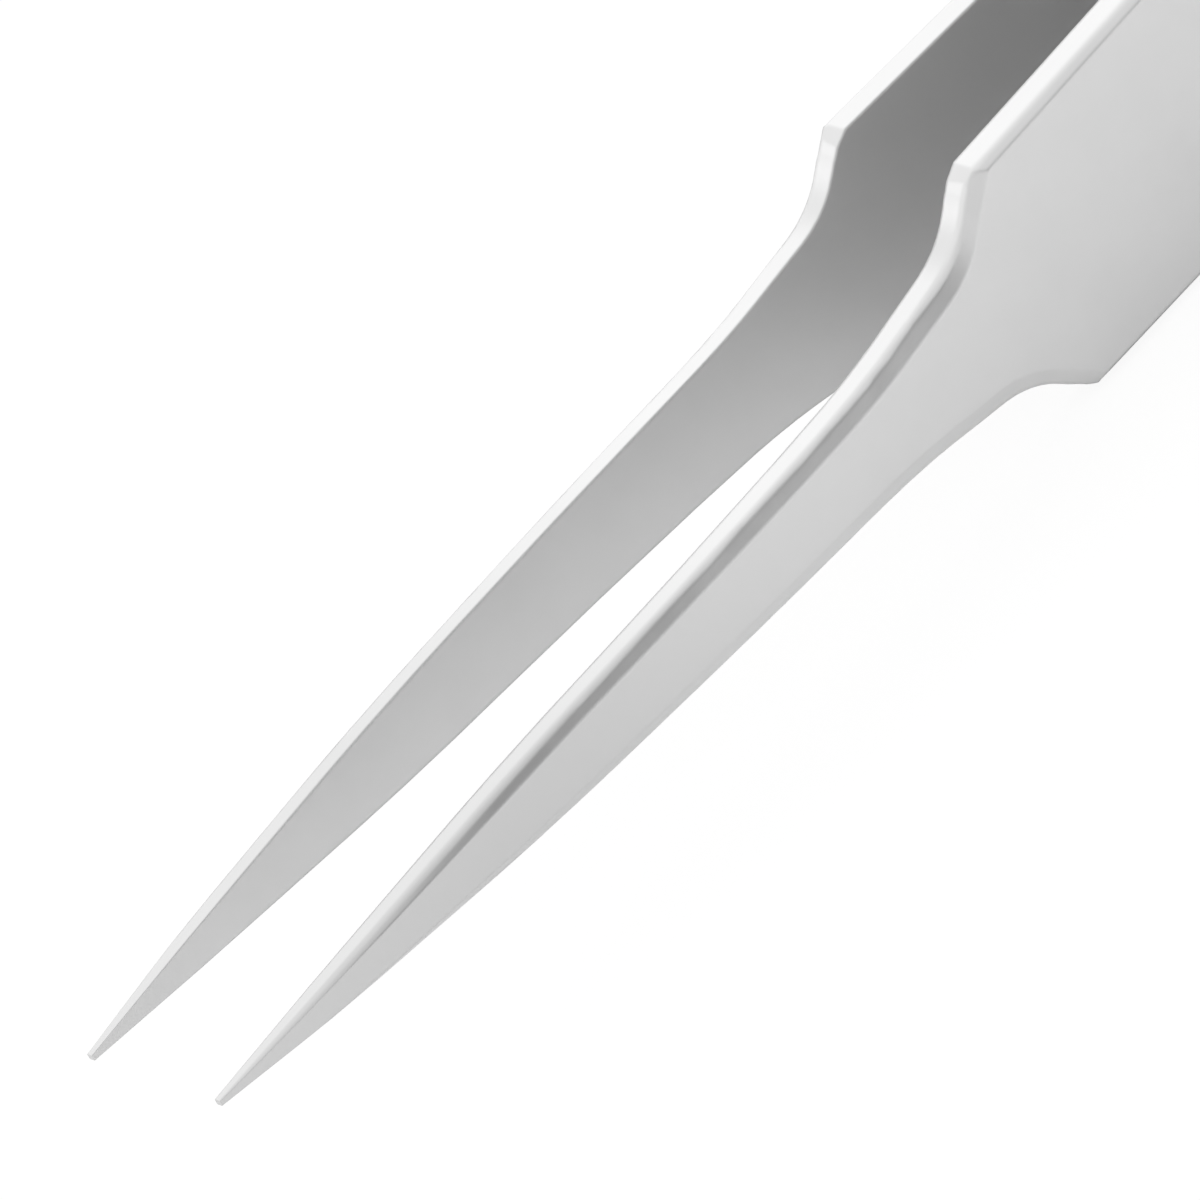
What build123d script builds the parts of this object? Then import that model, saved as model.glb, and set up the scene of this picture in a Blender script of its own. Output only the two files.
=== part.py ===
from build123d import *
from math import atan2, cos, sin, sqrt, tan
import os

# Fine-pointed tweezers with a shouldered shank: two mirrored arms, spot-welded face to face at the rear end.
# Sizes are in millimetres. Places along an arm are counted from its tip towards the welded end.

overall_length = 115.0

# Lengths of the stretches of an arm, from its tip backwards
point_length = 5.0
taper_length = 9.5
straight_length = 17.0
flare_length = 5.2
ramp_length = 1.4
facet_length = 0.8
swell_length = 11.1

# Lengths of the narrowing handle and of the welded end, from the rear end forwards
fade_length = 35.0
weld_length = 17.1

# Widths from edge to edge. The shank's are those of its flat inner face.
tip_width = 0.22
point_width = 1.24
break_width = 2.92
neck_start_width = 4.16
neck_foot_width = 5.84
handle_width = 9.70
rear_width = 6.00

# How much narrower each side is at the shoulder, and across the facet on its corner
swell = 0.17
facet_drop = 0.42

# Rounding radii of that outline
point_corner_radius = 120.0
break_radius = 120.0
neck_start_radius = 30.0
neck_radius = 3.8
handle_radius = 400.0
fade_radius = 250.0
rear_corner_radius = 1.6

# Bow of the inner face: how far it stands off the plane between the arms
tip_gap = 6.40
bend_gap = 6.80
bend_place = 25.5
bend_radius = 250.0
weld_radius = 150.0

# Thickness of the strip
tip_thickness = 0.26
point_thickness = 0.78
mid_thickness = 0.95
mid_place = 13.0
bend_thickness = 1.00
strip_thickness = 1.28
point_radius = 60.0
mid_radius = 60.0
strip_radius = 60.0

# Ground flanks of the shank: a side band, a rounded ridge and a bevel that ends in a crease on the outer face
ridge_depth_share = 0.77
ridge_inset_share = 0.17
ridge_radius = 0.30
tip_crease_inset = 0.03
point_crease_inset = 0.17
break_crease_inset = 0.57
neck_crease_inset = 0.83
shoulder_crease_inset = 0.90

# Broken outer edges of the handle
edge_break = 0.30
edge_break_radius = 0.40

# Spot-weld marks on the outer faces at the welded end
weld_mark_diameter = 2.4
weld_mark_depth = 0.06
weld_mark_inset = 3.5
weld_mark_pitch = 4.5
weld_mark_count = 2

# How the grinding shape is divided along the shank, and how far it reaches past the metal
shank_steps = 14
neck_steps = 8
tip_overrun = 0.5
shoulder_overrun = 2.0
bevel_overrun = 0.8
margin = 2.0
tolerance = 0.01

# Places along an arm that follow from those sizes
taper_break = point_length + taper_length
neck_start = taper_break + straight_length
neck_join = neck_start + flare_length / 2
neck_foot = neck_start + flare_length
shoulder_start = neck_foot + ramp_length
shoulder_end = shoulder_start + facet_length
handle_full = shoulder_end + swell_length
handle_fade = overall_length - fade_length
weld_place = overall_length - weld_length
weld_mark_first = overall_length - weld_mark_inset

# Distances of the handle's edges from its middle line
handle_side = handle_width / 2
shoulder_side = handle_side - swell
shoulder_start_side = shoulder_side - facet_drop


def straight_height(points, place):
    """Height at one place of straight lines through points, carried on past both ends."""
    spans = list(zip(points, points[1:]))
    start, end = next((span for span in spans if place <= span[1][0]), spans[-1])
    slope = (end[1] - start[1]) / (end[0] - start[0])
    return start[1] + slope * (place - start[0])


def rounded_height(points, radii, place):
    """Height at one place of the same lines with their inner corners rounded by tangent arcs."""
    for before, corner, after, radius in zip(points, points[1:], points[2:], radii):
        angle_in = atan2(corner[1] - before[1], corner[0] - before[0])
        angle_out = atan2(after[1] - corner[1], after[0] - corner[0])
        reach = radius * tan(abs(angle_out - angle_in) / 2)
        start = corner[0] - reach * cos(angle_in)
        end = corner[0] + reach * cos(angle_out)
        if start < place < end:
            side = 1 if angle_out > angle_in else -1
            centre_x = start - side * radius * sin(angle_in)
            centre_y = corner[1] - reach * sin(angle_in) + side * radius * cos(angle_in)
            return centre_y - side * sqrt(radius**2 - (place - centre_x) ** 2)
    return straight_height(points, place)


inner_points = [
    (0, tip_gap / 2),
    (bend_place, bend_gap / 2),
    (weld_place, 0),
    (overall_length, 0),
]
inner_radii = [bend_radius, weld_radius]

thickness_points = [
    (0, tip_thickness),
    (point_length, point_thickness),
    (mid_place, mid_thickness),
    (bend_place, bend_thickness),
    (shoulder_end, strip_thickness),
    (weld_place, strip_thickness),
    (overall_length, strip_thickness),
]
outer_points = [(x, straight_height(inner_points, x) + t) for x, t in thickness_points]
outer_radii = [point_radius, mid_radius, bend_radius, strip_radius, weld_radius]

shank_points = [
    (0, tip_width / 2),
    (point_length, point_width / 2),
    (taper_break, break_width / 2),
    (neck_start, neck_start_width / 2),
    (neck_foot, neck_foot_width / 2),
    (shoulder_start, shoulder_start_side),
]
shank_radii = [point_corner_radius, break_radius, neck_start_radius, neck_radius]

crease_inset_points = [
    (0, tip_crease_inset),
    (point_length, point_crease_inset),
    (taper_break, break_crease_inset),
    (neck_start, neck_crease_inset),
    (shoulder_start, shoulder_crease_inset),
]

handle_points = [
    (shoulder_end, shoulder_side),
    (handle_full, handle_side),
    (handle_fade, handle_side),
    (overall_length, rear_width / 2),
]


def side_profile():
    """The bowed strip seen along its width: inner line, outer line and the two ends."""
    inner = FilletPolyline(*inner_points, radius=inner_radii)
    outer = FilletPolyline(*outer_points, radius=outer_radii)
    ends = Line(inner @ 0, outer @ 0) + Line(inner @ 1, outer @ 1)
    return make_face(inner + outer + ends)


def handle_outline():
    """Outline of the handle seen from the side, carried forward past the tip along its own taper."""
    front = -margin
    upper = [(front, straight_height(handle_points, front))] + handle_points[1:]
    lower = [(x, -z) for x, z in reversed(upper)]
    radii = [handle_radius, fade_radius, rear_corner_radius]
    line = FilletPolyline(*upper, *lower, radius=radii + list(reversed(radii)))
    closing = Line(line @ 1, line @ 0)
    return make_face(line + closing)


def edges_round_outline(blank, depth):
    """Edges that run along the strip's outline and across its rear end, at one depth below the outer face."""
    found = ShapeList()
    for edge in blank.edges():
        middle = edge @ 0.5
        height = rounded_height(outer_points, outer_radii, middle.X) - depth
        crosses = abs(middle.Z) < tolerance and middle.X < overall_length - tolerance
        if abs(middle.Y - height) < tolerance and not crosses:
            found.append(edge)
    return found


def strip():
    """Bent and stamped blank of one arm, with the outer edges of its handle broken and softened."""
    bowed = extrude(side_profile(), amount=handle_width, both=True)
    outline = Plane.XZ * handle_outline()
    stamped = extrude(outline, amount=-2 * tip_gap)
    blank = bowed & stamped
    join = Plane.YZ.offset(neck_join)
    shank = split(blank, bisect_by=join, keep=Keep.BOTTOM)
    handle = split(blank, bisect_by=join, keep=Keep.TOP)
    handle = chamfer(edges_round_outline(handle, 0), edge_break)
    handle = fillet(edges_round_outline(handle, edge_break), edge_break_radius)
    return shank + handle


def ground_section(place):
    """Section of what is ground away above one place of the shank, seen along the arm."""
    inner = rounded_height(inner_points, inner_radii, place)
    outer = rounded_height(outer_points, outer_radii, place)
    side = rounded_height(shank_points, shank_radii, place)
    inset = straight_height(crease_inset_points, place)
    thickness = outer - inner
    ridge = Vector(inner + ridge_depth_share * thickness, side - ridge_inset_share * inset)
    crease = Vector(outer, side - inset)
    beyond = crease + (crease - ridge) * bevel_overrun
    line = FilletPolyline(
        (inner - margin, side),
        ridge,
        beyond,
        (outer + margin, beyond.Y),
        (outer + margin, handle_width),
        (inner - margin, handle_width),
        radius=[min(ridge_radius, thickness / 2), 0, 0, 0],
    )
    closing = Line(line @ 1, line @ 0)
    return Plane.YZ.offset(place) * make_face(line + closing)


def ground_between(start, end, steps):
    """What is ground away above one stretch of the shank, through evenly spaced sections."""
    pitch = (end - start) / steps
    return loft([ground_section(start + i * pitch) for i in range(steps + 1)])


def grinding():
    """What is ground away above the shank, above its neck and at the corner of the shoulder."""
    shank = ground_between(-tip_overrun, neck_join, shank_steps)
    neck = ground_between(neck_join, shoulder_start, neck_steps)
    shoulder = ground_between(shoulder_start, shoulder_end + shoulder_overrun, 1)
    return [shank, neck, shoulder]


def shoulder_facet():
    """Corner cut off each side of the handle where the neck comes out."""
    before = (shoulder_start - facet_length, shoulder_start_side - facet_drop)
    after = (shoulder_end + facet_length, shoulder_side + facet_drop)
    face = make_face(Polyline(before, after, (before[0], after[1]), close=True))
    return extrude(Plane.XZ * face, amount=-2 * tip_gap)


def weld_marks():
    """Shallow round dents that the welding electrodes leave."""
    mark_radius = weld_mark_diameter / 2
    ball_radius = (mark_radius**2 + weld_mark_depth**2) / (2 * weld_mark_depth)
    height = strip_thickness - weld_mark_depth + ball_radius
    places = [weld_mark_first - i * weld_mark_pitch for i in range(weld_mark_count)]
    return [Pos(x, height, 0) * Sphere(ball_radius) for x in places]


def arm():
    """One arm, standing off the plane between the arms on the +Y side."""
    above = [*grinding(), shoulder_facet()]
    below = [mirror(shape, about=Plane.XY) for shape in above]
    return strip() - above - below - weld_marks()


right_arm = Pos(-overall_length / 2, 0, handle_width / 2) * arm()
left_arm = mirror(right_arm, about=Plane.XZ)

os.makedirs("parts", exist_ok=True)
export_step(left_arm, "parts/left_arm.step")
export_step(right_arm, "parts/right_arm.step")
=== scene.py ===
import bpy
import math
from mathutils import Matrix, Vector


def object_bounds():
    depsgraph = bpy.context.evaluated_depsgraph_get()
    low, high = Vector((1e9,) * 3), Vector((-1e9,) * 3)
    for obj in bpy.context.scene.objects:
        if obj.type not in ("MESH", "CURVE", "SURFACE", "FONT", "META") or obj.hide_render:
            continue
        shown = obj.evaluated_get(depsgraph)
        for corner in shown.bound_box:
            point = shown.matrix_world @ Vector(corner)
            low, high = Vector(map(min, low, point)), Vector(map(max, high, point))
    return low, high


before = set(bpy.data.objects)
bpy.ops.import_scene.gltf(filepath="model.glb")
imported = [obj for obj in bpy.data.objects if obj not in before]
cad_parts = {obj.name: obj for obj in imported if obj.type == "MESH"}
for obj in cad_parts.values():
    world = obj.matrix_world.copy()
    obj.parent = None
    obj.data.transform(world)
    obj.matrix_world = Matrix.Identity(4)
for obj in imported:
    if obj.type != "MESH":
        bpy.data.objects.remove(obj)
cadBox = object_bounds()
print("frame loaded:", sorted(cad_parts))

mm = 0.001

# A Mix node names several of its sockets alike, so its colour sockets go by their places
mixFirst = 6
mixSecond = 7
mixResult = 2


def linearColour(hexColour):
    # sRGB hex to the linear values that the shader wants
    channels = [int(hexColour[i:i + 2], 16) / 255 for i in (1, 3, 5)]
    linear = [c / 12.92 if c <= 0.04045 else ((c + 0.055) / 1.055) ** 2.4 for c in channels]
    return (*linear, 1.0)


def addNode(tree, kind, settings=None, values=None, links=None):
    # settings are the node's own options, values its unlinked sockets, links the sockets that others feed
    node = tree.nodes.new(kind)
    for name, value in (settings or {}).items():
        setattr(node, name, value)
    for socket, value in (values or {}).items():
        node.inputs[socket].default_value = value
    for socket, source in (links or {}).items():
        tree.links.new(source, node.inputs[socket])
    return node


def emptyMaterial(name):
    material = bpy.data.materials.new(name)
    material.use_nodes = True
    material.node_tree.nodes.clear()
    return material


# Titanium, ground and then tumbled: a soft satin with no direction to it. The tumbling eases every edge, so
# a thin line runs along each crease, and the flats stay faintly uneven. The colour turns a little greyer
# towards the points. The inner faces, which little of the tumbling reaches, stay rougher and mirror each
# other softly; their colour is a little darker too, as painted shade for the shade between the arms.
satinTitanium = {
    "colour": "#E0E0E0",
    "shadeColour": "#D9D9D9",
    "pointColour": "#CFCFCF",
    # painted shade: the inner faces are coloured darker for the shade that falls between the arms
    "innerPaintedShade": "#D7D7D7",
    "greyUntil": 12,        # mm from the points
    "brightFrom": 30,       # mm from the points
    "innerFrom": 0.8,       # mm off the plane between the arms, where inner faces take their full painted shade and roughness
    "roughness": 0.30,
    "innerRoughness": 0.52,
    "roughnessSpread": 0.05,
    "easedPoint": 0.03,     # mm, radius of the worn edges at the points
    "easedEdge": 0.20,      # mm, radius of the worn edges on the rest
    "easedFrom": 12,        # mm from the points, where the rest begins
    "easedSamples": 8,
    "cloud": 2.2,           # mm, size of the faint patches
    "cloudDetail": 3.0,
    "cloudRange": (0.3, 0.7),   # the stretch of that pattern that spreads the roughness
    "wave": 1.1,            # mm, unevenness left by grinding
    "waveDetail": 1.0,
    "waveHeight": 0.0006,   # mm
    "grain": 0.07,          # mm, drawn coarser than the real grain so that it shows
    "grainDetail": 2.0,
    "grainHeight": 0.0007,  # mm
    "noiseFineness": 0.55,
}


def titaniumMaterial():
    look = satinTitanium
    material = emptyMaterial("titaniumTumbledSatin")
    tree = material.node_tree
    place = addNode(tree, "ShaderNodeTexCoord").outputs["Object"]

    def noise(pattern):
        return addNode(
            tree, "ShaderNodeTexNoise",
            values={
                "Scale": 1 / (look[pattern] * mm), "Detail": look[pattern + "Detail"],
                "Roughness": look["noiseFineness"],
            },
            links={"Vector": place},
        ).outputs["Fac"]

    cloud = noise("cloud")
    colour = addNode(
        tree, "ShaderNodeMix", {"data_type": "RGBA"},
        {mixFirst: linearColour(look["shadeColour"]), mixSecond: linearColour(look["colour"])},
        {"Factor": cloud},
    )
    along = addNode(tree, "ShaderNodeSeparateXYZ", links={"Vector": place})
    pointEnd = cadBox[0][0]
    towardsPoints = addNode(
        tree, "ShaderNodeMapRange", {"interpolation_type": "SMOOTHSTEP"},
        {"From Min": pointEnd + look["brightFrom"] * mm, "From Max": pointEnd + look["greyUntil"] * mm},
        {"Value": along.outputs["X"]},
    )
    outerColour = addNode(
        tree, "ShaderNodeMix", {"data_type": "RGBA"}, {mixSecond: linearColour(look["pointColour"])},
        {"Factor": towardsPoints.outputs["Result"], mixFirst: colour.outputs[mixResult]},
    )
    # an inner face looks back towards the plane between the arms, where Y is 0
    normal = addNode(tree, "ShaderNodeNewGeometry").outputs["Normal"]
    facing = addNode(tree, "ShaderNodeSeparateXYZ", links={"Vector": normal})
    outwards = addNode(
        tree, "ShaderNodeMath", {"operation": "MULTIPLY"},
        links={0: along.outputs["Y"], 1: facing.outputs["Y"]},
    )
    inner = addNode(
        tree, "ShaderNodeMapRange", values={"From Min": 0, "From Max": -look["innerFrom"] * mm},
        links={"Value": outwards.outputs[0]},
    ).outputs["Result"]
    # painted shade: the inner faces take the darker colour, standing in for the shade between the arms
    colourWithPaintedShade = addNode(
        tree, "ShaderNodeMix", {"data_type": "RGBA"}, {mixSecond: linearColour(look["innerPaintedShade"])},
        {"Factor": inner, mixFirst: outerColour.outputs[mixResult]},
    )
    flatRoughness = addNode(
        tree, "ShaderNodeMapRange",
        values={"To Min": look["roughness"], "To Max": look["innerRoughness"]},
        links={"Value": inner},
    )
    spread = addNode(
        tree, "ShaderNodeMapRange",
        values={
            "From Min": look["cloudRange"][0], "From Max": look["cloudRange"][1],
            "To Min": -look["roughnessSpread"] / 2, "To Max": look["roughnessSpread"] / 2,
        },
        links={"Value": cloud},
    )
    roughness = addNode(
        tree, "ShaderNodeMath", {"operation": "ADD"},
        links={0: flatRoughness.outputs["Result"], 1: spread.outputs["Result"]},
    )
    edgeRadius = addNode(
        tree, "ShaderNodeMapRange",
        values={
            "From Min": pointEnd, "From Max": pointEnd + look["easedFrom"] * mm,
            "To Min": look["easedPoint"] * mm, "To Max": look["easedEdge"] * mm,
        },
        links={"Value": along.outputs["X"]},
    )
    edges = addNode(
        tree, "ShaderNodeBevel", {"samples": look["easedSamples"]},
        links={"Radius": edgeRadius.outputs["Result"]},
    )
    waves = addNode(
        tree, "ShaderNodeBump", values={"Distance": look["waveHeight"] * mm},
        links={"Height": noise("wave"), "Normal": edges.outputs["Normal"]},
    )
    grain = addNode(
        tree, "ShaderNodeBump", values={"Distance": look["grainHeight"] * mm},
        links={"Height": noise("grain"), "Normal": waves.outputs["Normal"]},
    )
    shader = addNode(
        tree, "ShaderNodeBsdfPrincipled", values={"Metallic": 1.0},
        links={
            "Base Color": colourWithPaintedShade.outputs[mixResult],
            "Roughness": roughness.outputs[0],
            "Normal": grain.outputs["Normal"],
        },
    )
    addNode(tree, "ShaderNodeOutputMaterial", links={"Surface": shader.outputs["BSDF"]})
    return material


titanium = titaniumMaterial()
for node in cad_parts.values():
    for slot in node.material_slots:
        slot.material = titanium
print("arms finished in satin titanium")


# White laminate bench top: matt and even, so that the tweezers show clean in it
bench = {
    "colour": "#FCFCFC",
    "roughness": 0.6,
    "halfSize": 1500,       # mm
    "white": "#FFFFFF",
    "whiteStrength": 1.02,
    "whiteInView": 0.88,    # how much of the top shows as plain white; the rest takes the shadow
    "whiteInMetal": 0.05,   # the same where the metal mirrors it, so that the arms darken each other
}


def benchMaterial():
    material = emptyMaterial("laminateWhiteMatt")
    tree = material.node_tree
    lit = addNode(
        tree, "ShaderNodeBsdfPrincipled",
        values={"Base Color": linearColour(bench["colour"]), "Roughness": bench["roughness"]},
    )
    white = addNode(
        tree, "ShaderNodeEmission",
        values={"Color": linearColour(bench["white"]), "Strength": bench["whiteStrength"]},
    )
    rays = addNode(tree, "ShaderNodeLightPath")
    mirrored = addNode(
        tree, "ShaderNodeMath", {"operation": "MAXIMUM"},
        links={0: rays.outputs["Is Glossy Ray"], 1: rays.outputs["Is Transmission Ray"]},
    )
    inMetal = addNode(
        tree, "ShaderNodeMath", {"operation": "MULTIPLY"}, {1: bench["whiteInMetal"]},
        {0: mirrored.outputs[0]},
    )
    share = addNode(
        tree, "ShaderNodeMath", {"operation": "MULTIPLY_ADD"}, {1: bench["whiteInView"]},
        {0: rays.outputs["Is Camera Ray"], 2: inMetal.outputs[0]},
    )
    mixed = addNode(
        tree, "ShaderNodeMixShader",
        links={0: share.outputs[0], 1: lit.outputs["BSDF"], 2: white.outputs["Emission"]},
    )
    addNode(tree, "ShaderNodeOutputMaterial", links={"Surface": mixed.outputs["Shader"]})
    return material


def buildBench():
    half = bench["halfSize"] * mm
    corners = [(-half, -half, 0), (half, -half, 0), (half, half, 0), (-half, half, 0)]
    mesh = bpy.data.meshes.new("benchTop")
    mesh.from_pydata(corners, [], [(0, 1, 2, 3)])
    mesh.materials.append(benchMaterial())
    top = bpy.data.objects.new("benchTop", mesh)
    bpy.context.scene.collection.objects.link(top)


buildBench()
print("bench top laid")


# A plain studio of white walls, brighter behind than in front, with cards stood around the bench. A card's
# place and size are in degrees: its bearing goes from +X towards +Y, and up is above the bench. Its light is
# what it adds to the wall or, as a dark card, takes from it.
studio = {
    "wall": "#FFFFFF",
    "frontLight": 0.86,
    "backLight": 1.08,
    "frontUntil": -0.7,     # Y of a direction, where the front wall ends and the light starts to rise
    "backFrom": 0.1,        # Y of a direction, where the back wall starts
    "cards": [
        # large, behind the handle
        {"bearing": 55, "up": 30, "halfSize": 32, "soft": 12, "light": 0.25},
        # behind the points
        {"bearing": 132, "up": 12, "halfSize": 18, "soft": 8, "light": 0.30},
        # dark, in front: it greys the bevels
        {"bearing": -72, "up": 16, "halfSize": 15, "soft": 9, "light": -0.53},
    ],
}


def cardDirection(card):
    bearing = math.radians(card["bearing"])
    up = math.radians(card["up"])
    return (math.cos(up) * math.cos(bearing), math.cos(up) * math.sin(bearing), math.sin(up))


def buildStudio():
    world = bpy.data.worlds.new("studio")
    world.use_nodes = True
    bpy.context.scene.world = world
    tree = world.node_tree
    tree.nodes.clear()
    direction = addNode(tree, "ShaderNodeTexCoord").outputs["Generated"]
    parts = addNode(tree, "ShaderNodeSeparateXYZ", links={"Vector": direction})
    walls = addNode(
        tree, "ShaderNodeMapRange", {"interpolation_type": "SMOOTHSTEP"},
        {
            "From Min": studio["frontUntil"], "From Max": studio["backFrom"],
            "To Min": studio["frontLight"], "To Max": studio["backLight"],
        },
        {"Value": parts.outputs["Y"]},
    )
    light = walls.outputs["Result"]
    for card in studio["cards"]:
        nearness = addNode(
            tree, "ShaderNodeVectorMath", {"operation": "DOT_PRODUCT"}, {1: cardDirection(card)},
            {0: direction},
        )
        inside = math.radians(card["halfSize"] - card["soft"])
        outside = math.radians(card["halfSize"] + card["soft"])
        added = addNode(
            tree, "ShaderNodeMapRange", {"interpolation_type": "SMOOTHSTEP"},
            {"From Min": math.cos(outside), "From Max": math.cos(inside), "To Max": card["light"]},
            {"Value": nearness.outputs["Value"]},
        )
        light = addNode(
            tree, "ShaderNodeMath", {"operation": "ADD"}, links={0: light, 1: added.outputs["Result"]},
        ).outputs[0]
    background = addNode(
        tree, "ShaderNodeBackground", values={"Color": linearColour(studio["wall"])},
        links={"Strength": light},
    )
    addNode(tree, "ShaderNodeOutputWorld", links={"Surface": background.outputs["Background"]})


buildStudio()
print("studio lit")


# The camera of the photograph, by its aim, direction, roll and lens
viewpoint = {
    "aim": (-38.30, -5.52, 9.41),   # mm, the point in the middle of the picture
    "distance": 873,                # mm
    "height": 32.82,                # degrees above the bench
    "swing": 24.51,                 # degrees from straight in front, towards the points
    "roll": -31.78,                 # degrees, tips down to the left
    "lens": 837,                    # mm
    "sensor": 36,                   # mm
    "nearest": 10,                  # mm, the least distance that the camera sees
    "farthest": 10000,              # mm, the greatest
}


def buildCamera():
    height = math.radians(viewpoint["height"])
    swing = math.radians(viewpoint["swing"])
    aim = Vector(viewpoint["aim"]) * mm
    back = Vector((
        -math.cos(height) * math.sin(swing),
        -math.cos(height) * math.cos(swing),
        math.sin(height),
    ))
    camera = bpy.data.cameras.new("camera")
    camera.sensor_width = viewpoint["sensor"]
    camera.lens = viewpoint["lens"]
    camera.clip_start = viewpoint["nearest"] * mm
    camera.clip_end = viewpoint["farthest"] * mm
    holder = bpy.data.objects.new("camera", camera)
    bpy.context.scene.collection.objects.link(holder)
    facing = back.to_track_quat("Z", "Y").to_matrix().to_4x4()
    roll = Matrix.Rotation(math.radians(viewpoint["roll"]), 4, "Z")
    place = Matrix.Translation(aim + back * viewpoint["distance"] * mm)
    holder.matrix_world = place @ facing @ roll
    bpy.context.scene.camera = holder


buildCamera()
bpy.context.scene.view_settings.view_transform = "Standard"
print("camera set")
